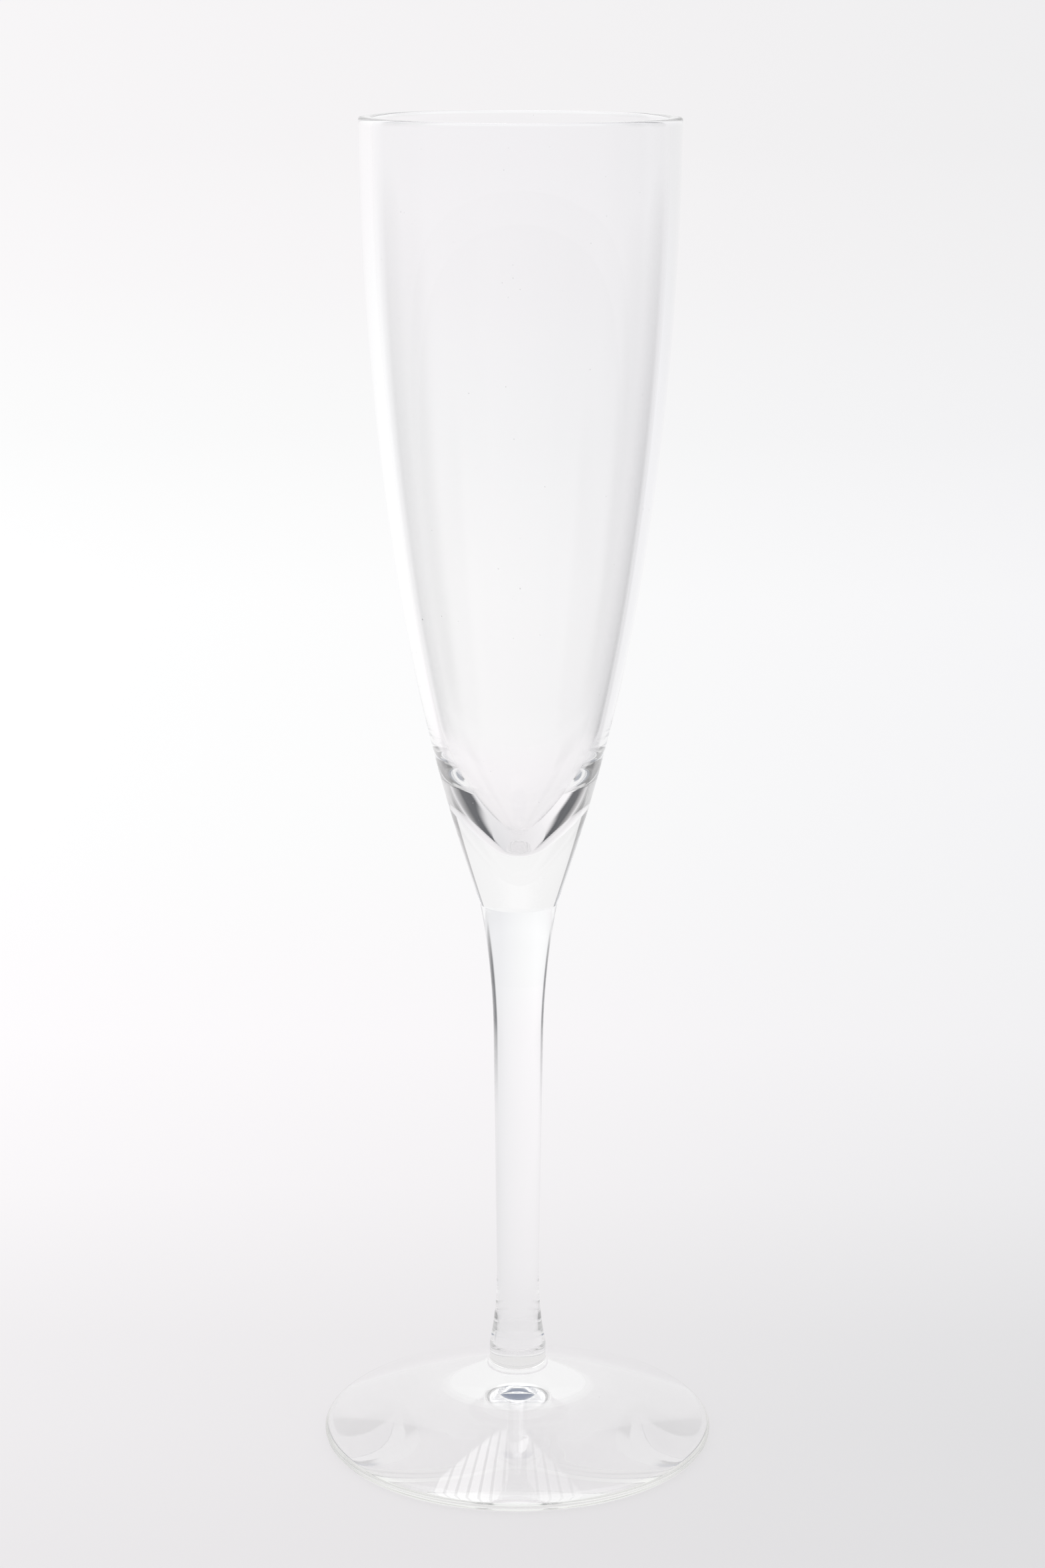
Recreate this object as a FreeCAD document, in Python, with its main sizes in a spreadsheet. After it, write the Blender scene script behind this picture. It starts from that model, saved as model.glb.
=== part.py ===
"""Champagne flute: a blown bowl, a drawn stem and a pressed foot, fused end to end.

Every piece is a solid of revolution about +Z. The origin is at the centre of the ring that the foot rests on.
Each body is drawn from its own lower joint upwards, and its Placement stacks it on the piece below.
All lengths are in millimetres.
"""

import FreeCAD, Part
import math
import os
import Sketcher
from FreeCAD import Vector

DRIVING_DIMENSIONS = [
    # foot
    ("foot_radius", 34.3, "outside radius of the foot"),
    ("foot_height", 13.9, "table to the flat land that the stem is fused to"),
    ("foot_collar_radius", 1.7, "fillet between that land and the upper face"),
    ("foot_edge_radius", 0.85, "half of the fire-polished edge's thickness"),
    ("foot_crown_radius", 416.0, "the upper face bulges a little out of a plain cone"),
    ("foot_ring_radius", 32.4, "inside radius of the ground ring that touches the table"),
    ("foot_hollow_height", 6.2, "table to the top of the hollow under the foot"),
    ("foot_hollow_radius", 62.0, "rounding at the top of that hollow, which is a flat cone further out"),
    # stem
    ("stem_length", 83.6, "joint to joint"),
    ("stem_end_radius", 4.96, "short cylinder that is fused to the foot's land"),
    ("stem_end_length", 2.4, "length of that cylinder"),
    ("stem_waist_height", 16.1, "where the flare ends and the shank begins"),
    ("stem_waist_radius", 3.72, "slimmest place of the stem"),
    ("stem_shank_height", 60.1, "where the shank ends and the upper sweep begins"),
    ("stem_shank_radius", 4.3, "shank radius there"),
    # bowl
    ("joint_radius", 6.66, "bowl and stem where they are fused"),
    ("bowl_height", 132.5, "joint to rim"),
    ("rim_radius", 26.37, "outside radius of the rim"),
    ("rim_inner_radius", 24.27, "inside radius of the rim"),
    ("rim_rounding", 0.6, "fire-polished edges of the rim"),
    ("belly_height", 55.0, "where the upper and the lower sweep of the wall meet"),
    ("belly_radius", 20.3, "outside radius there"),
    ("belly_inner_radius", 18.47, "inside radius there"),
    ("belly_sweep_radius", 487.0, "profile radius of the upper sweep, outside"),
    ("belly_inner_sweep_radius", 480.0, "profile radius of the upper sweep, inside"),
    ("taper_height", 2.0, "straight start of the solid taper above the joint"),
    ("cup_height", 32.5, "where the wall starts to thicken inwards"),
    ("cup_inner_radius", 14.0, "inside radius there"),
    ("tip_height", 10.2, "joint to the lowest point of the inside"),
    ("tip_radius", 4.0, "rounding of that point"),
]

# Where the solver starts from; the constraints then settle the true slopes.
TAPER_SLOPE_GUESS = 0.33
TIP_TURN_GUESS = math.radians(42)

doc = FreeCAD.newDocument("champagne_flute")


def make_sheet():
    """The sheet of driving dimensions, one alias to a row."""
    sheet = doc.addObject("Spreadsheet::Sheet", "dims")
    for row, (alias, value, note) in enumerate(DRIVING_DIMENSIONS, start=1):
        sheet.set(f"A{row}", alias)
        sheet.set(f"B{row}", str(value))
        sheet.set(f"C{row}", note)
        sheet.setAlias(f"B{row}", alias)
    doc.recompute()
    return sheet


sheet = make_sheet()


def size(alias):
    """The sheet's value for an alias, used only to draw a sketch close to its solution."""
    return float(sheet.get(alias))


def unit(x, z):
    length = math.hypot(x, z)
    return (x / length, z / length)


def arc_on(centre, radius, start, end):
    """The shorter arc from start to end about centre, and the sketch point numbers of its start and end."""
    first = math.atan2(start[1] - centre[1], start[0] - centre[0])
    last = math.atan2(end[1] - centre[1], end[0] - centre[0])
    turn = (last - first + math.pi) % (2 * math.pi) - math.pi
    circle = Part.Circle(Vector(centre[0], centre[1], 0), Vector(0, 0, 1), radius)
    if turn > 0:
        return Part.ArcOfCircle(circle, first, first + turn), 1, 2
    return Part.ArcOfCircle(circle, last, last - turn), 2, 1


def arc_of_radius(start, end, radius, side):
    """An arc from start to end; its centre lies left of the way there if side is 1, and right of it if it is -1."""
    along = (end[0] - start[0], end[1] - start[1])
    half = math.hypot(*along) / 2
    reach = math.sqrt(radius**2 - half**2)
    left = unit(-along[1], along[0])
    centre = (
        (start[0] + end[0]) / 2 + side * reach * left[0],
        (start[1] + end[1]) / 2 + side * reach * left[1],
    )
    return arc_on(centre, radius, start, end)


def arc_leaving(start, heading, end):
    """The arc that leaves start along heading and reaches end."""
    left = unit(-heading[1], heading[0])
    along = (end[0] - start[0], end[1] - start[1])
    reach = (along[0] ** 2 + along[1] ** 2) / (2 * (left[0] * along[0] + left[1] * along[1]))
    centre = (start[0] + reach * left[0], start[1] + reach * left[1])
    return arc_on(centre, abs(reach), start, end)


class Outline:
    """A closed half-profile in a body's XZ plane, drawn edge by edge and held by constraints on the sheet."""

    def __init__(self, body, name):
        self.sketch = body.newObject("Sketcher::SketchObject", name)
        plane = next(f for f in body.Origin.OriginFeatures if f.Role == "XZ_Plane")
        self.sketch.AttachmentSupport = (plane, [""])
        self.sketch.MapMode = "FlatFace"

    def constrain(self, kind, *where):
        return self.sketch.addConstraint(Sketcher.Constraint(kind, *where))

    def bind(self, kind, where, alias):
        """A dimension that follows the sheet."""
        index = self.constrain(kind, *where, size(alias))
        name = f"{alias}_{index}"
        self.sketch.renameConstraint(index, name)
        self.sketch.setExpression(f"Constraints.{name}", f"dims.{alias}")

    def line(self, start, end):
        """A straight edge, as its geometry number and the point numbers of its start and end."""
        geometry = Part.LineSegment(Vector(*start, 0), Vector(*end, 0))
        return self.sketch.addGeometry(geometry, False), 1, 2

    def arc(self, drawn):
        """A round edge, from one of the arc functions above."""
        geometry, first, last = drawn
        return self.sketch.addGeometry(geometry, False), first, last

    def join(self, one, other, smooth=False):
        """The end of one edge meets the start of the other, with one tangent if smooth."""
        self.constrain("Tangent" if smooth else "Coincident", one[0], one[2], other[0], other[1])

    def start_at(self, edge, radius=None, height=None):
        self.pin(edge[0], edge[1], radius, height)

    def end_at(self, edge, radius=None, height=None):
        self.pin(edge[0], edge[2], radius, height)

    def pin(self, geometry, point, radius, height):
        if radius is not None:
            self.bind("DistanceX", (geometry, point), radius)
        if height is not None:
            self.bind("DistanceY", (geometry, point), height)

    def on_axis(self, geometry, point):
        self.constrain("PointOnObject", geometry, point, -2)


def revolve(body, outline, name):
    solid = body.newObject("PartDesign::Revolution", name)
    solid.Profile = outline.sketch
    solid.ReferenceAxis = (outline.sketch, ["V_Axis"])
    solid.Angle = 360
    doc.recompute()
    return solid


def new_body(label, height_formula=None):
    """An empty body that stands on the pieces below it."""
    body = doc.addObject("PartDesign::Body", label)
    body.Label = label
    if height_formula:
        body.setExpression(".Placement.Base.z", height_formula)
    return body


def make_foot():
    """A crowned cone with a collar, a round-topped conical hollow under it, a rounded edge and a resting ring."""
    body = new_body("foot")
    outline = Outline(body, "foot_outline")
    edge_radius = size("foot_edge_radius")
    edge_centre = (size("foot_radius") - edge_radius, edge_radius)
    land = (size("stem_end_radius"), size("foot_height"))
    collar_centre = (land[0] + size("foot_collar_radius"), land[1])
    fall = unit(edge_centre[0] - land[0], edge_centre[1] - land[1])
    out_of_collar = (
        collar_centre[0] + size("foot_collar_radius") * fall[1],
        collar_centre[1] - size("foot_collar_radius") * fall[0],
    )
    shoulder = (edge_centre[0] - edge_radius * fall[1], edge_centre[1] + edge_radius * fall[0])
    ring_outside = (edge_centre[0], 0.0)
    ring_inside = (size("foot_ring_radius"), 0.0)
    hollow_top = (0.0, size("foot_hollow_height"))
    hollow_radius = size("foot_hollow_radius")
    hollow_centre = (0.0, hollow_top[1] - hollow_radius)
    reach = math.hypot(ring_inside[0], hollow_centre[1])
    turn = math.atan2(-hollow_centre[1], ring_inside[0]) + math.acos(hollow_radius / reach)
    hollow_foot = (hollow_radius * math.cos(turn), hollow_centre[1] + hollow_radius * math.sin(turn))

    axis = outline.line(hollow_top, (0.0, land[1]))
    land_line = outline.line((0.0, land[1]), land)
    collar = outline.arc(arc_on(collar_centre, size("foot_collar_radius"), land, out_of_collar))
    crown = outline.arc(arc_of_radius(out_of_collar, shoulder, size("foot_crown_radius"), -1))
    edge = outline.arc(arc_on(edge_centre, edge_radius, shoulder, (size("foot_radius"), edge_radius)))
    under_edge = outline.arc(arc_on(edge_centre, edge_radius, (size("foot_radius"), edge_radius), ring_outside))
    ring = outline.line(ring_outside, ring_inside)
    hollow_side = outline.line(ring_inside, hollow_foot)
    hollow = outline.arc(arc_on(hollow_centre, hollow_radius, hollow_foot, hollow_top))

    outline.join(axis, land_line)
    outline.join(land_line, collar)
    outline.join(collar, crown, smooth=True)
    outline.join(crown, edge, smooth=True)
    outline.join(edge, under_edge)
    outline.constrain("Coincident", edge[0], 3, under_edge[0], 3)
    outline.join(under_edge, ring)
    outline.join(ring, hollow_side)
    outline.join(hollow_side, hollow, smooth=True)
    outline.join(hollow, axis)
    outline.on_axis(axis[0], 1)
    outline.constrain("Vertical", axis[0])
    outline.constrain("Horizontal", land_line[0])
    outline.end_at(land_line, "stem_end_radius", "foot_height")
    outline.bind("Radius", (collar[0],), "foot_collar_radius")
    outline.constrain("Horizontal", collar[0], 3, land_line[0], 2)
    outline.bind("Radius", (crown[0],), "foot_crown_radius")
    outline.bind("Radius", (edge[0],), "foot_edge_radius")
    outline.bind("DistanceY", (edge[0], 3), "foot_edge_radius")
    outline.end_at(edge, "foot_radius", "foot_edge_radius")
    outline.constrain("Horizontal", ring[0])
    outline.constrain("Vertical", edge[0], 3, ring[0], 1)
    outline.end_at(ring, "foot_ring_radius")
    outline.on_axis(hollow[0], 3)
    outline.end_at(hollow, None, "foot_hollow_height")
    outline.bind("Radius", (hollow[0],), "foot_hollow_radius")
    revolve(body, outline, "foot_solid")
    return body


def make_stem():
    """A short cylinder, a flare, a slightly tapered shank and a sweep up to the bowl's joint."""
    body = new_body("stem", "dims.foot_height")
    outline = Outline(body, "stem_outline")
    end = (size("stem_end_radius"), size("stem_end_length"))
    waist = (size("stem_waist_radius"), size("stem_waist_height"))
    shank = (size("stem_shank_radius"), size("stem_shank_height"))
    top = (size("joint_radius"), size("stem_length"))
    heading = unit(shank[0] - waist[0], shank[1] - waist[1])

    base = outline.line((0.0, 0.0), (end[0], 0.0))
    cylinder = outline.line((end[0], 0.0), end)
    geometry, first, last = arc_leaving(waist, (-heading[0], -heading[1]), end)
    flare = outline.arc((geometry, last, first))
    shank_line = outline.line(waist, shank)
    sweep = outline.arc(arc_leaving(shank, heading, top))
    top_line = outline.line(top, (0.0, top[1]))
    axis = outline.line((0.0, top[1]), (0.0, 0.0))

    outline.join(base, cylinder)
    outline.join(cylinder, flare)
    outline.join(flare, shank_line, smooth=True)
    outline.join(shank_line, sweep, smooth=True)
    outline.join(sweep, top_line)
    outline.join(top_line, axis)
    outline.join(axis, base)
    outline.constrain("Coincident", base[0], 1, -1, 1)
    outline.constrain("Horizontal", base[0])
    outline.constrain("Vertical", cylinder[0])
    outline.end_at(cylinder, "stem_end_radius", "stem_end_length")
    outline.start_at(shank_line, "stem_waist_radius", "stem_waist_height")
    outline.end_at(shank_line, "stem_shank_radius", "stem_shank_height")
    outline.end_at(sweep, "joint_radius", "stem_length")
    outline.constrain("Horizontal", top_line[0])
    outline.constrain("Vertical", axis[0])
    revolve(body, outline, "stem_solid")
    return body


def make_bowl():
    """A tall open bowl whose wall thickens into a solid taper above the joint."""
    body = new_body("bowl", "dims.foot_height + dims.stem_length")
    outline = Outline(body, "bowl_outline")
    joint = (size("joint_radius"), 0.0)
    belly = (size("belly_radius"), size("belly_height"))
    rim = (size("rim_radius"), size("bowl_height"))
    rim_inside = (size("rim_inner_radius"), size("bowl_height"))
    belly_inside = (size("belly_inner_radius"), size("belly_height"))
    cup = (size("cup_inner_radius"), size("cup_height"))
    tip = (0.0, size("tip_height"))
    tip_centre = (0.0, size("tip_height") + size("tip_radius"))

    upper = arc_of_radius(belly, rim, size("belly_sweep_radius"), 1)
    centre = upper[0].Center
    heading = unit(-(belly[1] - centre.y), belly[0] - centre.x)
    taper_top = (joint[0] + TAPER_SLOPE_GUESS * size("taper_height"), size("taper_height"))
    geometry, first, last = arc_leaving(belly, (-heading[0], -heading[1]), taper_top)

    base = outline.line((0.0, 0.0), joint)
    taper = outline.line(joint, taper_top)
    lower_sweep = outline.arc((geometry, last, first))
    upper_sweep = outline.arc(upper)
    rim_line = outline.line(rim, rim_inside)
    inner_upper = outline.arc(arc_of_radius(rim_inside, belly_inside, size("belly_inner_sweep_radius"), -1))
    centre = outline.sketch.Geometry[inner_upper[0]].Center
    heading = unit(belly_inside[1] - centre.y, -(belly_inside[0] - centre.x))
    inner_lower = outline.arc(arc_leaving(belly_inside, heading, cup))
    centre = outline.sketch.Geometry[inner_lower[0]].Center
    heading = unit(cup[1] - centre.y, -(cup[0] - centre.x))
    tip_side = (
        size("tip_radius") * math.cos(TIP_TURN_GUESS),
        tip_centre[1] - size("tip_radius") * math.sin(TIP_TURN_GUESS),
    )
    turn_in = outline.arc(arc_leaving(cup, heading, tip_side))
    tip_arc = outline.arc(arc_on(tip_centre, size("tip_radius"), tip_side, tip))
    axis = outline.line(tip, (0.0, 0.0))

    outline.join(base, taper)
    outline.join(taper, lower_sweep, smooth=True)
    outline.join(lower_sweep, upper_sweep, smooth=True)
    outline.join(upper_sweep, rim_line)
    outline.join(rim_line, inner_upper)
    outline.join(inner_upper, inner_lower, smooth=True)
    outline.join(inner_lower, turn_in, smooth=True)
    outline.join(turn_in, tip_arc, smooth=True)
    outline.join(tip_arc, axis)
    outline.join(axis, base)
    outline.constrain("Coincident", base[0], 1, -1, 1)
    outline.constrain("Horizontal", base[0])
    outline.end_at(base, "joint_radius")
    outline.end_at(taper, None, "taper_height")
    outline.start_at(upper_sweep, "belly_radius", "belly_height")
    outline.bind("Radius", (upper_sweep[0],), "belly_sweep_radius")
    outline.end_at(upper_sweep, "rim_radius", "bowl_height")
    outline.constrain("Horizontal", rim_line[0])
    outline.end_at(rim_line, "rim_inner_radius")
    outline.bind("Radius", (inner_upper[0],), "belly_inner_sweep_radius")
    outline.end_at(inner_upper, "belly_inner_radius", "belly_height")
    outline.end_at(inner_lower, "cup_inner_radius", "cup_height")
    outline.bind("Radius", (tip_arc[0],), "tip_radius")
    outline.on_axis(tip_arc[0], 3)
    outline.on_axis(tip_arc[0], tip_arc[2])
    outline.end_at(tip_arc, None, "tip_height")
    solid = revolve(body, outline, "bowl_solid")

    rounding = body.newObject("PartDesign::Fillet", "rim_rounding")
    rim_edges = [
        f"Edge{number}"
        for number, edge in enumerate(solid.Shape.Edges, start=1)
        if edge.BoundBox.ZMin > size("bowl_height") - 0.01
    ]
    rounding.Base = (solid, rim_edges)
    rounding.setExpression("Radius", "dims.rim_rounding")
    body.Tip = rounding
    doc.recompute()
    return body


def check(bodies):
    """Stops before anything is written if an object failed or a solid is not sound."""
    for thing in doc.Objects:
        if "Invalid" in thing.State or "Error" in thing.State:
            raise RuntimeError(f"{thing.Name} failed: {thing.State}")
        if thing.isDerivedFrom("Sketcher::SketchObject") and thing.solve() != 0:
            raise RuntimeError(f"{thing.Name} does not solve")
    for body in bodies:
        if body.Shape.isNull() or not body.Shape.isValid() or len(body.Shape.Solids) != 1:
            raise RuntimeError(f"{body.Label} is not one sound solid")


def main():
    bodies = [make_foot(), make_stem(), make_bowl()]
    doc.recompute()
    check(bodies)
    os.makedirs("parts", exist_ok=True)
    for body in bodies:
        body.Shape.exportStep(os.path.join("parts", f"{body.Label}.step"))
        box = body.Shape.BoundBox
        print(f"{body.Label}: {box.ZMin:.2f} to {box.ZMax:.2f} mm, {body.Shape.Volume / 1000:.2f} cm3")


main()
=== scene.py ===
"""Looks of the champagne flute: three pieces of clear glass on a pale studio floor."""

import math

import bmesh
import bpy
from mathutils import Matrix, Vector


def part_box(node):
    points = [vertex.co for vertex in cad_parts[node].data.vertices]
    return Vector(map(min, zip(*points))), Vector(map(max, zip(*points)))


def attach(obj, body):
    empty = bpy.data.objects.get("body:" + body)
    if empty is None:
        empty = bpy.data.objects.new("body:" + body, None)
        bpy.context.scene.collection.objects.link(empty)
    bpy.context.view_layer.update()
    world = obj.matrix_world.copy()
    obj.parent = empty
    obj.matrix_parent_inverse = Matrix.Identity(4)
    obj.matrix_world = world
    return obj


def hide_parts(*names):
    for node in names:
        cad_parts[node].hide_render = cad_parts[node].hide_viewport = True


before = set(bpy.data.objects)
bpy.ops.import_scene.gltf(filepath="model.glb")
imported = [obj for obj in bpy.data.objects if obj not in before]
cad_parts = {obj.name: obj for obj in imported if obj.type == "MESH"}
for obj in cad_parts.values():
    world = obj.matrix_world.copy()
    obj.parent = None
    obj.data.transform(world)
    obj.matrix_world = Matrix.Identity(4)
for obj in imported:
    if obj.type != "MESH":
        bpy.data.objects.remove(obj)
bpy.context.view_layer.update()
scene = bpy.context.scene

# Outlines are drawn in millimetres, and the pieces are made in metres.
MM = 0.001

# Sides round each piece, and the angle in degrees from which an edge between faces stays crisp.
AROUND = 288
CRISP_ANGLE = 25

# How near, in millimetres, counts as on the axis, on the level of a joint, or as the same point.
ON_AXIS = 1e-6
ON_LEVEL = 1e-3
SAME_POINT = 1e-4

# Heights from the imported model: both fused joints above the floor, and the rim above the upper joint.
FOOT_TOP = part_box("foot")[1].z / MM
STEM_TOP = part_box("stem")[1].z / MM
RIM_HEIGHT = (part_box("bowl")[1].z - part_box("bowl")[0].z) / MM

# Foot, measured up from the floor.
FOOT_RADIUS = 34.3
FOOT_EDGE_RADIUS = 0.85
FOOT_RING_RADIUS = 32.4
FOOT_CROWN_RADIUS = 416.0
FOOT_COLLAR_RADIUS = 1.7
FOOT_HOLLOW_HEIGHT = 6.2
FOOT_HOLLOW_RADIUS = 62.0

# Stem, measured up from the foot. A point is its radius and its height.
STEM_END_RADIUS = 4.96
STEM_END_LENGTH = 2.4
STEM_WAIST = Vector((3.72, 16.1))
STEM_SHANK = Vector((4.3, 60.1))

# Bowl, measured up from the stem. The wall above the belly is an arc outside and another inside, and the
# cup is the point where the inner wall starts to turn in to the rounded tip.
JOINT_RADIUS = 6.66
TAPER_HEIGHT = 2.0
BELLY_HEIGHT = 55.0
BELLY_RADIUS = 20.3
WALL_ARC_RADIUS = 487.0
BELLY_INNER_RADIUS = 18.47
INNER_WALL_ARC_RADIUS = 480.0
CUP = Vector((14.0, 32.5))
TIP_HEIGHT = 10.2
TIP_RADIUS = 4.0
RIM_RADIUS = 26.37
RIM_INNER_RADIUS = 24.27
RIM_ROUNDING = 0.6
CLEAR_OF_ROUNDING = 0.1
TAPER_TRIES = 30


# ---------------------------------------------------------------- lines and arcs

def straight(start, end, steps):
    """Points on the line from start to end, both included."""
    return [start.lerp(end, step / steps) for step in range(steps + 1)]


def sweep(centre, start, end, steps):
    """Points on the shorter arc about centre from start to end, both included."""
    first = start - centre
    turn = first.angle_signed(end - centre)
    points = []
    for step in range(steps + 1):
        share = step / steps
        rolled = Matrix.Rotation(-turn * share, 2) @ first
        points.append(centre + rolled)
    points[-1] = end.copy()
    return points


def sweep_of_radius(start, end, radius, side, steps):
    """Arc of a given radius; side +1 puts its centre to the left of the way travelled."""
    chord = end - start
    across = Vector((-chord.y, chord.x)).normalized() * side
    rise = math.sqrt(radius ** 2 - (chord.length / 2) ** 2)
    return sweep((start + end) / 2 + across * rise, start, end, steps)


def sweep_leaving(start, heading, end, steps):
    """Arc that leaves start along heading and reaches end."""
    chord = end - start
    normal = Vector((-heading.y, heading.x))
    radius = chord.length_squared / (2 * chord.dot(normal))
    return sweep(start + normal * radius, start, end, steps)


def end_heading(points):
    """Unit direction at the end of a run of points on an arc, exact enough for the next arc."""
    last = points[-1] - points[-2]
    before = points[-2] - points[-3]
    turn = before.angle_signed(last)
    return (Matrix.Rotation(-turn / 2, 2) @ last).normalized()


def start_heading(points):
    """Unit direction at the start of a run of points on an arc."""
    return -end_heading(points[::-1])


def meeting_point(first, first_reach, second, second_reach):
    """Lower of the two points at those distances from first and second."""
    gap = second - first
    along = (first_reach ** 2 - second_reach ** 2 + gap.length_squared) / (2 * gap.length)
    off = math.sqrt(first_reach ** 2 - along ** 2)
    way = gap.normalized()
    aside = Vector((-way.y, way.x))
    base = first + way * along
    return min(base + aside * off, base - aside * off, key=lambda point: point.y)


def joined(*runs):
    """One outline from several runs that share their end points."""
    outline = [runs[0][0]]
    for run in runs:
        outline.extend(point for point in run if (point - outline[-1]).length > SAME_POINT)
    return outline


# ---------------------------------------------------------------- outlines of the three pieces

def foot_outline():
    """From the top of the underside's hollow, round the edge, up to the joint with the stem."""
    ring = Vector((FOOT_RING_RADIUS, 0))
    hollow_top = Vector((0, FOOT_HOLLOW_HEIGHT))
    hollow_centre = Vector((0, FOOT_HOLLOW_HEIGHT - FOOT_HOLLOW_RADIUS))
    from_centre = ring - hollow_centre
    turn = math.atan2(from_centre.y, from_centre.x)
    turn += math.acos(FOOT_HOLLOW_RADIUS / from_centre.length)
    hollow_foot = hollow_centre + FOOT_HOLLOW_RADIUS * Vector((math.cos(turn), math.sin(turn)))

    edge_centre = Vector((FOOT_RADIUS - FOOT_EDGE_RADIUS, FOOT_EDGE_RADIUS))
    collar_centre = Vector((STEM_END_RADIUS + FOOT_COLLAR_RADIUS, FOOT_TOP))
    crown_centre = meeting_point(
        edge_centre,
        FOOT_CROWN_RADIUS - FOOT_EDGE_RADIUS,
        collar_centre,
        FOOT_CROWN_RADIUS + FOOT_COLLAR_RADIUS,
    )
    crown_low = crown_centre + (edge_centre - crown_centre).normalized() * FOOT_CROWN_RADIUS
    crown_high = crown_centre + (collar_centre - crown_centre).normalized() * FOOT_CROWN_RADIUS
    resting = Vector((edge_centre.x, 0))
    widest = Vector((FOOT_RADIUS, FOOT_EDGE_RADIUS))
    land = Vector((STEM_END_RADIUS, FOOT_TOP))
    return joined(
        sweep(hollow_centre, hollow_top, hollow_foot, steps=30),
        [hollow_foot, ring, resting],
        sweep(edge_centre, resting, widest, steps=8),
        sweep(edge_centre, widest, crown_low, steps=8),
        sweep(crown_centre, crown_low, crown_high, steps=44),
        sweep(collar_centre, crown_high, land, steps=12),
        [land, Vector((0, FOOT_TOP))],
    )


def stem_outline():
    """From the foot up: short plain end, flare, shank and the widening top."""
    low = Vector((STEM_END_RADIUS, 0))
    plain_top = Vector((STEM_END_RADIUS, STEM_END_LENGTH))
    top = Vector((JOINT_RADIUS, STEM_TOP - FOOT_TOP))
    rising = (STEM_SHANK - STEM_WAIST).normalized()
    flare = sweep_leaving(STEM_WAIST, -rising, plain_top, steps=28)
    flare.reverse()
    return joined(
        [Vector((0, 0)), low, plain_top],
        flare,
        straight(STEM_WAIST, STEM_SHANK, steps=18),
        sweep_leaving(STEM_SHANK, rising, top, steps=24),
        [top, Vector((0, top.y))],
    )


def bowl_outline():
    """From the fused joint, up the outside, over the rim and down to the rounded tip inside."""
    joint = Vector((JOINT_RADIUS, 0))
    belly = Vector((BELLY_RADIUS, BELLY_HEIGHT))
    rim_out = Vector((RIM_RADIUS, RIM_HEIGHT))
    upper = sweep_of_radius(belly, rim_out, WALL_ARC_RADIUS, side=1, steps=56)
    falling = -start_heading(upper)
    taper_top = taper_meeting(joint, belly, falling)
    lower = sweep_leaving(belly, falling, taper_top, steps=48)
    lower.reverse()

    rim_in = Vector((RIM_INNER_RADIUS, RIM_HEIGHT))
    belly_in = Vector((BELLY_INNER_RADIUS, BELLY_HEIGHT))
    upper_in = sweep_of_radius(rim_in, belly_in, INNER_WALL_ARC_RADIUS, side=-1, steps=56)
    lower_in = sweep_leaving(belly_in, end_heading(upper_in), CUP, steps=24)
    tip_centre = Vector((0, TIP_HEIGHT + TIP_RADIUS))
    turn_in, touch = turn_to_tip(CUP, end_heading(lower_in), tip_centre)
    tip = sweep(tip_centre, touch, Vector((0, TIP_HEIGHT)), steps=14)

    out_round = rim_corner(rim_out - Vector((RIM_ROUNDING, RIM_ROUNDING)), 0)
    in_round = rim_corner(rim_in + Vector((RIM_ROUNDING, -RIM_ROUNDING)), math.pi / 2)
    wall_top = RIM_HEIGHT - RIM_ROUNDING - CLEAR_OF_ROUNDING
    upper = [point for point in upper if point.y < wall_top]
    upper_in = [point for point in upper_in if point.y < wall_top]
    return joined(
        [Vector((0, 0)), joint, taper_top],
        lower,
        upper,
        out_round,
        in_round,
        upper_in,
        lower_in,
        turn_in,
        tip,
    )


def taper_meeting(joint, belly, falling):
    """Top of the straight taper above the joint, tried until it is in line with the arc above it."""
    point = joint + Vector((TAPER_HEIGHT / 3, TAPER_HEIGHT))
    for _ in range(TAPER_TRIES):
        arriving = end_heading(sweep_leaving(belly, falling, point, steps=400))
        slope = arriving.x / arriving.y
        point = joint + Vector((TAPER_HEIGHT * slope, TAPER_HEIGHT))
    return point


def turn_to_tip(start, heading, tip_centre):
    """Arc that leaves start along heading and runs smoothly into the rounded tip."""
    inward = Vector((heading.y, -heading.x))
    gap = start - tip_centre
    radius = (TIP_RADIUS ** 2 - gap.length_squared) / (2 * (gap.dot(inward) + TIP_RADIUS))
    centre = start + inward * radius
    touch = tip_centre + (tip_centre - centre).normalized() * TIP_RADIUS
    return sweep(centre, start, touch, steps=36), touch


def rim_corner(centre, start_angle, steps=8):
    """Quarter circle of the rim's rounding, anticlockwise from start_angle."""
    points = []
    for step in range(steps + 1):
        angle = start_angle + math.pi / 2 * step / steps
        points.append(centre + Vector((math.cos(angle), math.sin(angle))) * RIM_ROUNDING)
    return points


# ---------------------------------------------------------------- glass pieces

def turned(name, outline, base_height, joint_levels):
    """Closed body of revolution. Faces that lie flat on a fused joint get the second material."""
    mesh = bpy.data.meshes.new(name)
    piece = bpy.data.objects.new(name, mesh)
    scene.collection.objects.link(piece)
    shape = bmesh.new()
    rings = [ring_of_corners(shape, point.x, point.y + base_height) for point in outline]
    for lower, upper in zip(rings, rings[1:]):
        for step in range(AROUND):
            after = (step + 1) % AROUND
            corners = [lower[step % len(lower)], lower[after % len(lower)]]
            corners += [upper[after % len(upper)], upper[step % len(upper)]]
            face = shape.faces.new(list(dict.fromkeys(corners)))
            face.smooth = True
    bmesh.ops.recalc_face_normals(shape, faces=shape.faces)
    for face in shape.faces:
        heights = [corner.co.z / MM for corner in face.verts]
        for level in joint_levels:
            if max(abs(height - level) for height in heights) < ON_LEVEL:
                face.material_index = 1
    shape.to_mesh(mesh)
    shape.free()
    mesh.set_sharp_from_angle(angle=math.radians(CRISP_ANGLE))
    return piece


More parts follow.
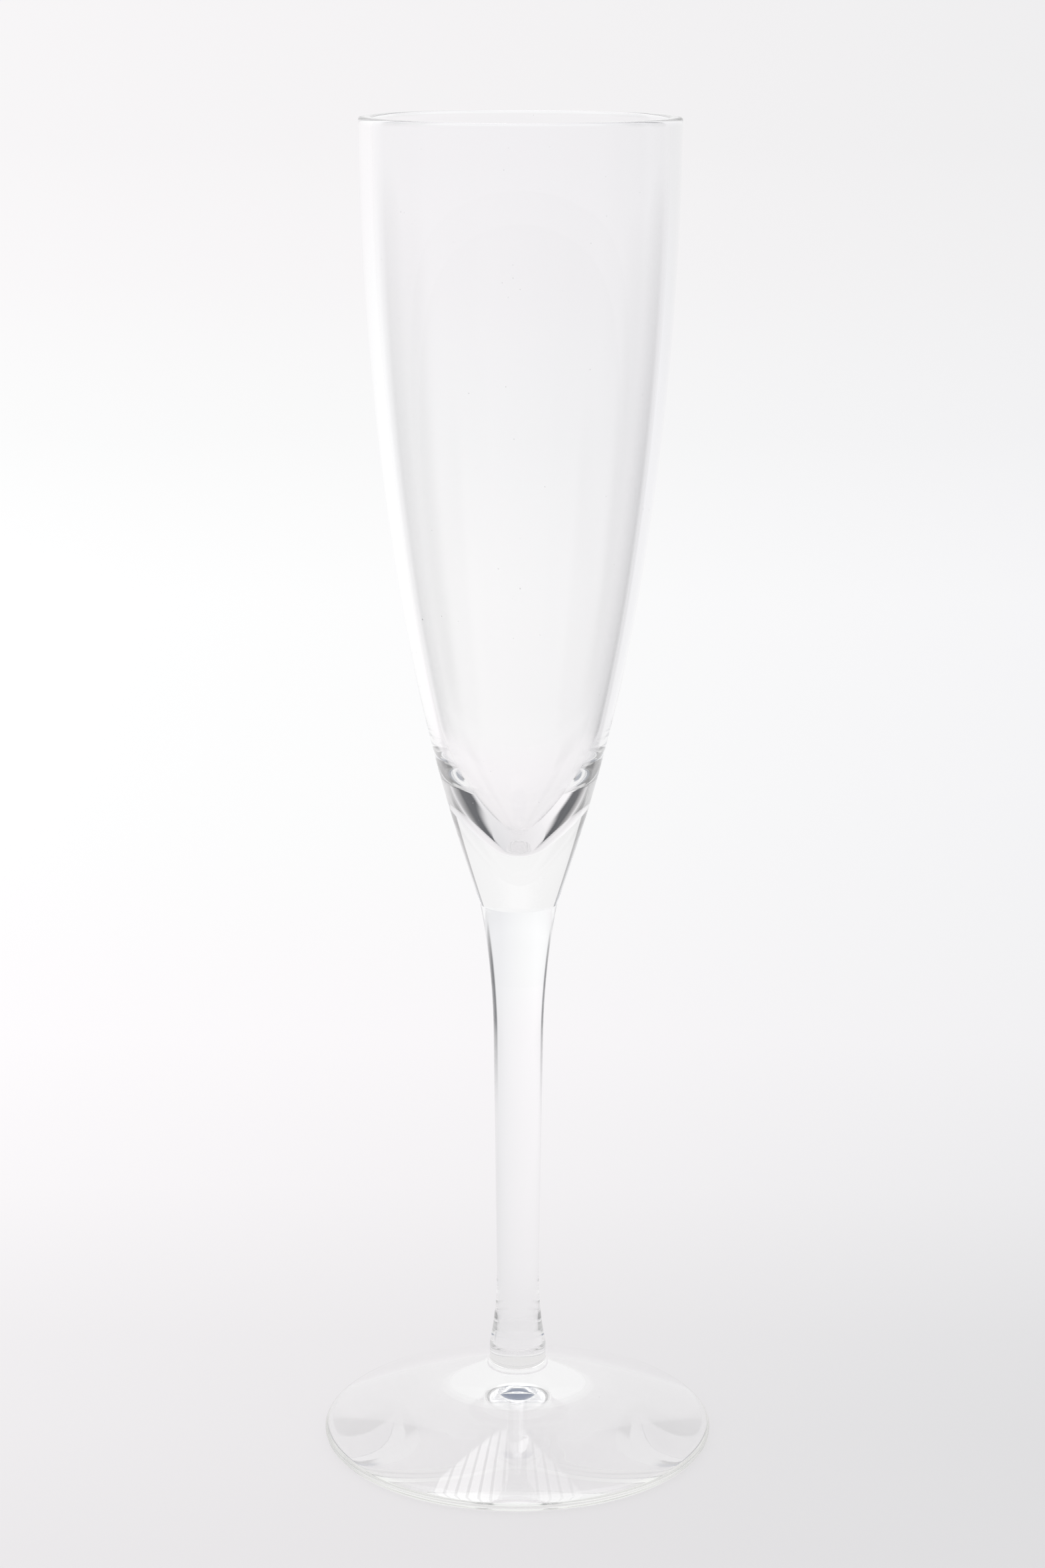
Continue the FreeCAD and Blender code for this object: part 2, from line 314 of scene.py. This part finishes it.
def ring_of_corners(shape, radius, height):
    """Corners round the axis at one height, or the single corner where the outline meets the axis."""
    if radius < ON_AXIS:
        return [shape.verts.new((0, 0, height * MM))]
    ring = []
    for step in range(AROUND):
        angle = 2 * math.pi * step / AROUND
        spot = (radius * MM * math.cos(angle), radius * MM * math.sin(angle), height * MM)
        ring.append(shape.verts.new(spot))
    return ring


foot = turned("foot_glass_piece", foot_outline(), 0, [FOOT_TOP])
stem = turned("stem_glass_piece", stem_outline(), FOOT_TOP, [FOOT_TOP, STEM_TOP])
bowl = turned("bowl_glass_piece", bowl_outline(), STEM_TOP, [STEM_TOP])


# ---------------------------------------------------------------- shading helpers

class Board:
    """Node tree with short ways to add the nodes that the glass, floor and light need."""

    # Places of the share and the two colours among the sockets of a colour mix, and of its result.
    MIX_INPUTS = (0, 6, 7)
    MIX_RESULT = 2

    def __init__(self, tree):
        self.nodes = tree.nodes
        self.links = tree.links
        self.nodes.clear()

    def node(self, kind, **sockets):
        """New node; sockets are given by name, with _ for a space, as values or other sockets."""
        made = self.nodes.new(kind)
        for name, value in sockets.items():
            self.feed(made.inputs[name.replace("_", " ")], value)
        return made

    def feed(self, socket, value):
        """Wire another socket in, or set a plain value."""
        if isinstance(value, bpy.types.NodeSocket):
            self.links.new(value, socket)
        else:
            socket.default_value = value

    def math(self, operation, *values):
        """Result of one operation on values or sockets."""
        made = self.nodes.new("ShaderNodeMath")
        made.operation = operation
        for socket, value in zip(made.inputs, values):
            self.feed(socket, value)
        return made.outputs[0]

    def band(self, value, low, high):
        """Smooth step from 0 at low to 1 at high."""
        made = self.node("ShaderNodeMapRange", Value=value, From_Min=low, From_Max=high)
        made.interpolation_type = "SMOOTHSTEP"
        return made.outputs["Result"]

    def between(self, value, low, low_edge, high, high_edge):
        """1 from low to high, with soft edges of the given widths outside them."""
        rising = self.band(value, low - low_edge, low)
        falling = self.band(value, high + high_edge, high)
        return self.math("MULTIPLY", rising, falling)

    def ramp(self, value, stops):
        """Colour over value; stops are (value, colour) pairs in rising order."""
        low = stops[0][0]
        high = stops[-1][0]
        spread = self.node("ShaderNodeMapRange", Value=value, From_Min=low, From_Max=high)
        made = self.node("ShaderNodeValToRGB", Fac=spread.outputs["Result"])
        marks = made.color_ramp.elements
        while len(marks) < len(stops):
            marks.new(0.5)
        for mark, (place, colour) in zip(marks, stops):
            mark.position = (place - low) / (high - low)
            mark.color = shade(colour)
        return made.outputs["Color"]

    def mix(self, share, first, second, blend="MIX"):
        """Second colour over the first one by share."""
        made = self.nodes.new("ShaderNodeMix")
        made.data_type = "RGBA"
        made.blend_type = blend
        for index, value in zip(self.MIX_INPUTS, (share, first, second)):
            self.feed(made.inputs[index], value)
        return made.outputs[self.MIX_RESULT]

    def split(self, vector):
        """The three parts of a vector; for a place they are across, depth and height."""
        made = self.node("ShaderNodeSeparateXYZ", Vector=vector)
        return made.outputs

    def from_axis(self, across, depth):
        """Level distance from the flute's axis."""
        squares = self.math(
            "ADD",
            self.math("MULTIPLY", across, across),
            self.math("MULTIPLY", depth, depth),
        )
        return self.math("SQRT", squares)

    def aside(self, across, depth):
        """Degrees to either side of straight ahead, as the camera looks at the flute."""
        return self.math("DEGREES", self.math("ARCTAN2", self.math("ABSOLUTE", across), depth))

    def output(self, kind, shader):
        """Last node of the tree, fed by the shader."""
        made = self.nodes.new(kind)
        self.links.new(shader.outputs[0], made.inputs[0])


def shade(colour):
    """Grey number or red-green-blue triple as a colour socket's value."""
    if isinstance(colour, (int, float)):
        return (colour, colour, colour, 1)
    return (*colour, 1)


def new_material(name):
    """Empty material with the board of its nodes."""
    material = bpy.data.materials.new(name)
    material.use_nodes = True
    return material, Board(material.node_tree)


# ---------------------------------------------------------------- finishes shared by the glasses

# Dust specks: the least size that chance gives one, and the soft edge as shares of its radius.
SMALLEST_SPECK = 0.35
SPECK_EDGE = (1.0, 0.6)

# Noise values: the middle, along which the scratches lie, and those where patches are fully there.
NOISE_MIDDLE = 0.5
SCRATCH_PATCH_FULL = 0.9
FILM_PATCH_FULL = 0.95

# How much finer the patches of scratches are than their bends, and how uneven the rings are.
SCRATCH_PATCH_FINENESS = 3.1
RING_UNEVENNESS = 0.02


def finish_group(name, inputs, outputs):
    """Node group with a place and named numbers going in, ready to be wired."""
    group = bpy.data.node_groups.new(name, "ShaderNodeTree")
    board = Board(group)
    group.interface.new_socket("Place", in_out="INPUT", socket_type="NodeSocketVector")
    for title, default in inputs:
        socket = group.interface.new_socket(title, in_out="INPUT", socket_type="NodeSocketFloat")
        socket.default_value = default
    for title in outputs:
        group.interface.new_socket(title, in_out="OUTPUT", socket_type="NodeSocketFloat")
    taken = board.nodes.new("NodeGroupInput").outputs
    given = board.nodes.new("NodeGroupOutput").inputs
    return group, board, taken, given


def dust_group():
    """Round specks of dust of uneven size, on a few cells only."""
    inputs = [("Cells", 300.0), ("Share", 0.06), ("Size", 0.1)]
    group, board, taken, given = finish_group("dust_specks", inputs, ["Mask"])
    cells = board.node("ShaderNodeTexVoronoi", Vector=taken["Place"], Scale=taken["Cells"])
    luck, bulk, _ = board.split(cells.outputs["Color"])
    chosen = board.math("LESS_THAN", luck, taken["Share"])
    reach = board.math("MULTIPLY", taken["Size"], board.math("ADD", bulk, SMALLEST_SPECK))
    near = board.math("DIVIDE", cells.outputs["Distance"], reach)
    speck = board.band(near, *SPECK_EDGE)
    board.feed(given["Mask"], board.math("MULTIPLY", speck, chosen))
    return group


def scratch_group():
    """Short hairline scratches that lie in all directions."""
    inputs = [("Scale", 60.0), ("Width", 0.012), ("Share", 0.35)]
    group, board, taken, given = finish_group("hairline_scratches", inputs, ["Mask"])
    bend = board.node("ShaderNodeTexNoise", Vector=taken["Place"], Scale=taken["Scale"], Detail=2.0)
    line = board.math("ABSOLUTE", board.math("SUBTRACT", bend.outputs["Fac"], NOISE_MIDDLE))
    thin = board.band(line, taken["Width"], 0.0)
    finer = board.math("MULTIPLY", taken["Scale"], SCRATCH_PATCH_FINENESS)
    patch = board.node("ShaderNodeTexNoise", Vector=taken["Place"], Scale=finer)
    start = board.math("SUBTRACT", 1.0, taken["Share"])
    seen = board.band(patch.outputs["Fac"], start, SCRATCH_PATCH_FULL)
    board.feed(given["Mask"], board.math("MULTIPLY", thin, seen))
    return group


def drawn_group():
    """Faint streaks along the axis, as blown and drawn glass has."""
    inputs = [("Scale", 160.0), ("Stretch", 0.06)]
    group, board, taken, given = finish_group("drawn_streaks", inputs, ["Height"])
    squash = board.node("ShaderNodeCombineXYZ", X=1.0, Y=1.0, Z=taken["Stretch"])
    place = board.nodes.new("ShaderNodeVectorMath")
    place.operation = "MULTIPLY"
    board.feed(place.inputs[0], taken["Place"])
    board.feed(place.inputs[1], squash.outputs[0])
    streaks = board.node(
        "ShaderNodeTexNoise",
        Vector=place.outputs[0],
        Scale=taken["Scale"],
        Detail=3.0,
    )
    board.feed(given["Height"], streaks.outputs["Fac"])
    return group


def turned_group():
    """Fine rings round the axis from polishing: by height, or by radius where Radial is 1."""
    inputs = [("Radial", 0.0), ("Scale", 2600.0)]
    group, board, taken, given = finish_group("turned_rings", inputs, ["Height"])
    across, depth, height = board.split(taken["Place"])
    upright = board.math("SUBTRACT", 1.0, taken["Radial"])
    along = board.math(
        "ADD",
        board.math("MULTIPLY", board.from_axis(across, depth), taken["Radial"]),
        board.math("MULTIPLY", height, upright),
    )
    sideways = board.math("MULTIPLY", across, RING_UNEVENNESS)
    line = board.node("ShaderNodeCombineXYZ", X=along, Y=sideways)
    rings = board.node(
        "ShaderNodeTexNoise",
        Vector=line.outputs[0],
        Scale=taken["Scale"],
        Detail=2.0,
    )
    board.feed(given["Height"], rings.outputs["Fac"])
    return group


def film_group():
    """Soft film left by fingers and washing, in loose patches."""
    inputs = [("Scale", 45.0), ("Share", 0.4)]
    group, board, taken, given = finish_group("washed_film", inputs, ["Mask"])
    film = board.node(
        "ShaderNodeTexNoise",
        Vector=taken["Place"],
        Scale=taken["Scale"],
        Detail=5.0,
        Distortion=1.2,
    )
    start = board.math("SUBTRACT", 1.0, taken["Share"])
    board.feed(given["Mask"], board.band(film.outputs["Fac"], start, FILM_PATCH_FULL))
    return group


DUST = dust_group()
SCRATCHES = scratch_group()
DRAWN = drawn_group()
TURNED = turned_group()
FILM = film_group()


# ---------------------------------------------------------------- materials

# Soda-lime glass bends light by this index.
GLASS_INDEX = 1.52

# What the shared finishes do to the glass: tints, shares of roughness, and depth in millimetres.
FILM_TINT = (0.975, 0.975, 0.98)
FILM_COVER = 0.35
FILM_ROUGHNESS = 0.012
DUST_TINT = 0.62
DUST_ROUGHNESS = 0.5
LINT_SHARE = 0.6
SCRATCH_ROUGHNESS = 0.12
SCRATCH_DEPTH = 0.004


def fused_joint_material():
    """The two glasses are melted together here, so light passes straight on."""
    material, board = new_material("fused_joint")
    board.output("ShaderNodeOutputMaterial", board.node("ShaderNodeBsdfTransparent"))
    return material


def clear_glass(name, body, edge, edge_from, edge_to, drawn, rings, ring_radial, dust_share):
    """Clear glass with traces of use.

    The body tint goes over to the edge tint between two distances from the axis, in millimetres, and the
    bump and roughness fade out there, so that the edge stays clean. drawn and rings are the depths of the
    streaks and the polishing rings, in millimetres, and dust_share is the share of cells with a speck.
    """
    material, board = new_material(name)
    place = board.node("ShaderNodeTexCoord").outputs["Object"]

    def finish(group, output, **sockets):
        made = board.nodes.new("ShaderNodeGroup")
        made.node_tree = group
        board.feed(made.inputs["Place"], place)
        for title, value in sockets.items():
            board.feed(made.inputs[title], value)
        return made.outputs[output]

    dust = finish(DUST, "Mask", Cells=330.0, Share=dust_share, Size=0.055)
    lint = finish(DUST, "Mask", Cells=900.0, Share=dust_share * LINT_SHARE, Size=0.09)
    specks = board.math("MAXIMUM", dust, lint)
    scratches = finish(SCRATCHES, "Mask", Scale=70.0, Width=0.0035, Share=0.4)
    film = finish(FILM, "Mask", Scale=38.0, Share=0.45)
    streak_shape = finish(DRAWN, "Height", Scale=150.0, Stretch=0.05)
    ring_shape = finish(TURNED, "Height", Radial=ring_radial, Scale=2400.0)

    across, depth, _ = board.split(place)
    at_edge = board.band(board.from_axis(across, depth), edge_from * MM, edge_to * MM)
    inside = board.math("SUBTRACT", 1.0, at_edge)

    colour = board.mix(at_edge, shade(body), shade(edge))
    colour = board.mix(board.math("MULTIPLY", film, FILM_COVER), colour, shade(FILM_TINT))
    colour = board.mix(specks, colour, shade(DUST_TINT))

    rough = board.math("MULTIPLY", film, FILM_ROUGHNESS)
    rough = board.math("ADD", rough, board.math("MULTIPLY", scratches, SCRATCH_ROUGHNESS))
    rough = board.math("ADD", rough, board.math("MULTIPLY", specks, DUST_ROUGHNESS))
    rough = board.math("MULTIPLY", rough, inside)

    streaks = board.math("MULTIPLY", streak_shape, drawn)
    lines = board.math("MULTIPLY", ring_shape, rings)
    height = board.math("ADD", streaks, lines)
    height = board.math("SUBTRACT", height, board.math("MULTIPLY", scratches, SCRATCH_DEPTH))
    height = board.math("MULTIPLY", height, inside)

    bump = board.node("ShaderNodeBump", Height=height, Strength=1.0, Distance=MM)
    glass = board.node("ShaderNodeBsdfPrincipled", Base_Color=colour, Roughness=rough)
    glass.inputs["Transmission Weight"].default_value = 1
    glass.inputs["IOR"].default_value = GLASS_INDEX
    board.feed(glass.inputs["Normal"], bump.outputs[0])
    board.output("ShaderNodeOutputMaterial", glass)
    return material


FOOT_GLASS = clear_glass(
    "foot_clear_glass",
    body=(0.998, 0.997, 0.999),
    edge=(0.95, 0.962, 0.925),
    edge_from=33.4,
    edge_to=34.2,
    drawn=0.003,
    rings=0.0003,
    ring_radial=1.0,
    dust_share=0.05,
)
STEM_GLASS = clear_glass(
    "stem_clear_glass",
    body=(0.997, 0.999, 1.0),
    edge=(0.985, 0.99, 0.995),
    edge_from=4.2,
    edge_to=7.0,
    drawn=0.006,
    rings=0.0003,
    ring_radial=0.0,
    dust_share=0.05,
)
BOWL_GLASS = clear_glass(
    "bowl_clear_glass",
    body=(1.0, 0.997, 0.998),
    edge=(0.996, 0.995, 1.0),
    edge_from=18.0,
    edge_to=26.0,
    drawn=0.0018,
    rings=0.0,
    ring_radial=0.0,
    dust_share=0.06,
)
FUSED_JOINT = fused_joint_material()

for piece, node, material in (
    (foot, "foot", FOOT_GLASS),
    (stem, "stem", STEM_GLASS),
    (bowl, "bowl", BOWL_GLASS),
):
    piece.data.materials.append(material)
    piece.data.materials.append(FUSED_JOINT)
    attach(piece, "root")
    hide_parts(node)


# ---------------------------------------------------------------- floor

# White paper, a hair below the foot. It gives most of its brightness itself, as painted light: the paper
# glows though it is no lamp. Lengths are in metres.
PAPER_HALF_WIDTH = 90
PAPER_DROP = 0.00015
PAPER_GLOW_SHARE = 0.85
PAPER_GLOW = 1.03

# Painted light and shade on the paper by its depth beyond the flute: darker in front, darkest a little
# before the flute, brighter beyond it and a little dimmer far away. The two lists are multiplied.
NEAR_TONES = [
    (-0.5, 0.84),
    (-0.2, 0.84),
    (-0.05, 0.80),
    (0.04, 0.835),
    (0.12, 0.91),
    (0.22, 0.955),
    (0.5, 0.972),
    (0.8, 0.98),
]
FAR_TONES = [(0.8, 1.0), (1.3, 0.962), (2.2, 0.947), (4.5, 0.93)]

# Painted shade and light: the paper is a little darker on the right and lighter on the left. A place's
# lean is how far across it is for its depth, softened close to the flute and kept within a limit.
LEAN_SOFTENING = 0.3
LEAN_LIMIT = 0.3
LEAN_DARKENING = 0.22

# Painted shade on the paper to the left and right, grey where the light is made to fall off: degrees aside
# as start, soft edge, end and soft edge, and how far out they begin. On the right they lie a few degrees
# nearer to straight ahead. Towards the camera they grow pale sooner, from some degrees aside on.
GREY_SECTOR = (62.0, 8.0, 97.0, 13.0)
GREY_BEGINS = (0.17, 0.29)
GREY_RIGHT_SHIFT = 9.0
GREY_PALES = (74.0, 84.0)
GREY_PALING = 0.6
SIDE_SHADE_COLOUR = (0.066, 0.07, 0.078)
GREY_TONES = [(0.2, SIDE_SHADE_COLOUR), (0.65, SIDE_SHADE_COLOUR), (1.0, 0.24), (1.8, 0.46), (3.5, 0.8)]

# Faint casts of the paper, and where they end or start: the pinks by depth, and the blue by lean.
NEAR_PINK = (1.0, 0.98, 0.994)
FAR_PINK = (1.0, 0.984, 0.992)
RIGHT_BLUE = (0.988, 0.985, 1.0)
NEAR_PINK_ENDS = (0.2, 0.45)
FAR_PINK_STARTS = (1.2, 2.5)
RIGHT_BLUE_STARTS = (-0.1, 0.3)


def pale_floor():
    """White paper with painted shade that turns it grey to the left and right, outside the camera's view.
    """
    mesh = bpy.data.meshes.new("studio_floor")
    floor = bpy.data.objects.new("studio_floor", mesh)
    scene.collection.objects.link(floor)
    shape = bmesh.new()
    bmesh.ops.create_grid(shape, x_segments=2, y_segments=2, size=PAPER_HALF_WIDTH)
    shape.to_mesh(mesh)
    shape.free()
    floor.location.z = -PAPER_DROP
    mesh.materials.append(paper_material())


def paper_material():
    """Paper whose tone depends on the place only, part lit and part glowing; its tones are painted light
    and shade, and its glow is painted light.
    """
    material, board = new_material("pale_paper_sweep")
    across, depth, _ = board.split(board.node("ShaderNodeNewGeometry").outputs["Position"])
    softened = board.math("ADD", board.math("ABSOLUTE", depth), LEAN_SOFTENING)
    lean = board.math("DIVIDE", across, softened)
    lean = board.math("MINIMUM", board.math("MAXIMUM", lean, -LEAN_LIMIT), LEAN_LIMIT)
    # Painted light and shade: brighter beyond the flute, darker in front of it and to the right.
    tone = painted_paper_shading(board, depth, lean)
    tone = painted_side_shade(board, tone, across, depth)
    tone = board.mix(1.0, tone, paper_cast(board, depth, lean), "MULTIPLY")
    paper = board.node("ShaderNodeBsdfDiffuse", Color=tone)
    # Painted light: most of the paper's brightness is its own glow, in the painted tones.
    glow = board.node("ShaderNodeEmission", Color=tone, Strength=PAPER_GLOW)
    blend = board.node("ShaderNodeMixShader", Fac=PAPER_GLOW_SHARE)
    board.links.new(paper.outputs[0], blend.inputs[1])
    board.links.new(glow.outputs[0], blend.inputs[2])
    board.output("ShaderNodeOutputMaterial", blend)
    return material


def painted_paper_shading(board, depth, lean):
    """Brightness of the white part: painted light and shade by depth, and painted shade to the right by
    lean.
    """
    near = board.ramp(depth, NEAR_TONES)
    far = board.ramp(depth, FAR_TONES)
    tone = board.mix(1.0, near, far, "MULTIPLY")
    darkening = board.math("MULTIPLY", lean, LEAN_DARKENING)
    return board.mix(1.0, tone, board.math("SUBTRACT", 1.0, darkening), "MULTIPLY")


def painted_side_shade(board, tone, across, depth):
    """Tone with the painted shade to the left and right laid over it."""
    reach = board.from_axis(across, depth)
    on_right = board.math("GREATER_THAN", across, 0.0)
    shift = board.math("MULTIPLY", on_right, GREY_RIGHT_SHIFT)
    aside = board.math("ADD", board.aside(across, depth), shift)
    # Painted shade: the paper turns grey to the sides, as if the light fell off there.
    side = board.between(aside, *GREY_SECTOR)
    side = board.math("MULTIPLY", side, board.band(reach, *GREY_BEGINS))
    paling = board.math("MULTIPLY", board.band(aside, *GREY_PALES), GREY_PALING)
    spread = board.math("MULTIPLY", reach, board.math("ADD", paling, 1.0))
    return board.mix(side, tone, board.ramp(spread, GREY_TONES))


def paper_cast(board, depth, lean):
    """Faint pink close by and far away, and a little blue on the right."""
    cast = board.mix(board.band(depth, *NEAR_PINK_ENDS), shade(NEAR_PINK), shade(1.0))
    cast = board.mix(board.band(depth, *FAR_PINK_STARTS), cast, shade(FAR_PINK))
    cool = board.mix(board.band(lean, *RIGHT_BLUE_STARTS), cast, shade(RIGHT_BLUE))
    return board.mix(1.0, cast, cool, "DARKEN")


# ---------------------------------------------------------------- light

# Brightness by the sine of the angle above the floor's level: ahead, to the sides and behind the camera.
AHEAD_TONES = [
    (0.0, 0.95),
    (0.25, 0.92),
    (0.7, 0.92),
    (0.8, 1.1),
    (0.9, 0.95),
    (0.93, 0.6),
    (0.975, 0.6),
    (0.985, 1.6),
]
BESIDE_TONES = [
    (0.0, 0.5),
    (0.1, 0.55),
    (0.25, 0.38),
    (0.36, 0.8),
    (0.6, 0.9),
    (0.9, 0.85),
    (0.93, 0.7),
    (0.975, 0.7),
    (0.985, 1.6),
]
BEHIND_TONES = [
    (0.0, 0.6),
    (0.12, 0.6),
    (0.25, 0.45),
    (0.4, 0.65),
    (0.8, 0.85),
    (0.9, 0.75),
    (0.93, 0.55),
    (0.975, 0.55),
    (0.985, 1.6),
]

# Degrees aside over which one list gives way to the next.
AHEAD_TO_BESIDE = (62.0, 74.0)
BESIDE_TO_BEHIND = (95.0, 110.0)

# Darker panels in the light. Each has its span in degrees aside, its span in the sine of its height, both
# as start, soft edge, end and soft edge, and its tone. The last is the dark ceiling behind the camera.
DARK_PANELS = (
    ((59.5, 3.5, 106.0, 8.0), (0.21, 0.02, 0.34, 0.04), 0.33),
    ((58.0, 4.0, 84.0, 5.0), (0.33, 0.03, 0.53, 0.04), (0.4, 0.42, 0.46)),
    ((80.0, 6.0, 118.0, 8.0), (0.07, 0.03, 0.2, 0.03), 0.28),
    ((125.0, 20.0, 180.0, 20.0), (0.74, 0.02, 0.945, 0.02), (0.22, 0.25, 0.33)),
)

# Barred window, measured on a level ceiling one unit above the flute: spans across and in depth, each as
# start, soft edge, end and soft edge, then its slant, and its brightness from left to right.
WINDOW_ACROSS = (-0.3, 0.015, 0.225, 0.015)
WINDOW_DEPTH = (0.2, 0.03, 0.425, 0.012)
WINDOW_SLANT = 0.13
WINDOW_TONES = [(-0.3, 0.75), (-0.14, 1.0), (-0.06, 0.6), (0.0, 0.3), (0.1, 0.45), (0.22, 0.3)]
WINDOW_GLOW = 2.6
WINDOW_LOWEST = 0.1
BAR_PACE = 150.0
BAR_EDGE = (-0.85, -0.5)


def studio_world():
    """Soft white light ahead and above, greyer beside and behind the camera, and a barred window."""
    world = bpy.data.worlds.new("soft_studio")
    world.use_nodes = True
    scene.world = world
    board = Board(world.node_tree)
    across, depth, height = board.split(board.node("ShaderNodeTexCoord").outputs["Generated"])
    aside = board.aside(across, depth)
    ahead = board.ramp(height, AHEAD_TONES)
    beside = board.ramp(height, BESIDE_TONES)
    behind = board.ramp(height, BEHIND_TONES)
    tone = board.mix(board.band(aside, *AHEAD_TO_BESIDE), ahead, beside)
    tone = board.mix(board.band(aside, *BESIDE_TO_BEHIND), tone, behind)
    for sideways, upwards, colour in DARK_PANELS:
        panel = board.math(
            "MULTIPLY",
            board.between(aside, *sideways),
            board.between(height, *upwards),
        )
        tone = board.mix(panel, tone, shade(colour))
    tone = board.mix(1.0, tone, window_light(board, across, depth, height), "ADD")
    light = board.node("ShaderNodeBackground", Color=tone, Strength=1.0)
    board.output("ShaderNodeOutputWorld", light)


def window_light(board, across, depth, height):
    """Barred window almost overhead, a little beyond the flute, as brightness by direction."""
    over = board.math("DIVIDE", across, height)
    out = board.math("DIVIDE", depth, height)
    slanted = board.math("ADD", out, board.math("MULTIPLY", over, WINDOW_SLANT))
    opening = board.math(
        "MULTIPLY",
        board.between(over, *WINDOW_ACROSS),
        board.between(slanted, *WINDOW_DEPTH),
    )
    bars = board.math("SINE", board.math("MULTIPLY", over, BAR_PACE))
    panes = board.band(bars, *BAR_EDGE)
    above = board.math("GREATER_THAN", height, WINDOW_LOWEST)
    lit = board.math("MULTIPLY", board.math("MULTIPLY", opening, panes), above)
    lit = board.math("MULTIPLY", lit, board.ramp(over, WINDOW_TONES))
    return board.mix(lit, shade(0.0), shade(WINDOW_GLOW))


# ---------------------------------------------------------------- camera

# Lens and sensor in millimetres, place in metres, angles in degrees.
LENS_LENGTH = 75.4
SENSOR_SIZE = 36
CAMERA_PLACE = (0.0006, -0.5431, 0.2523)
CAMERA_LOOKS_DOWN = 13.85
CAMERA_ROLL = 0.15
CAMERA_SEES_TO = 200


def camera():
    """A little above the rim, looking down on the foot."""
    lens = bpy.data.cameras.new("camera")
    eye = bpy.data.objects.new("camera", lens)
    scene.collection.objects.link(eye)
    lens.lens = LENS_LENGTH
    lens.sensor_width = SENSOR_SIZE
    lens.clip_end = CAMERA_SEES_TO
    stand = Matrix.Translation(CAMERA_PLACE)
    tilt = Matrix.Rotation(math.radians(90 - CAMERA_LOOKS_DOWN), 4, "X")
    roll = Matrix.Rotation(math.radians(CAMERA_ROLL), 4, "Z")
    eye.matrix_world = stand @ tilt @ roll
    scene.camera = eye


pale_floor()
studio_world()
camera()

# Light that enters the wall runs along inside it, from face to face, before it comes out at the rim.
BOUNCES_IN_WALL = 800
PASSES_THROUGH_JOINTS = 40

scene.view_settings.view_transform = "Standard"
scene.cycles.max_bounces = BOUNCES_IN_WALL
scene.cycles.transmission_bounces = BOUNCES_IN_WALL
scene.cycles.glossy_bounces = BOUNCES_IN_WALL
scene.cycles.transparent_max_bounces = PASSES_THROUGH_JOINTS
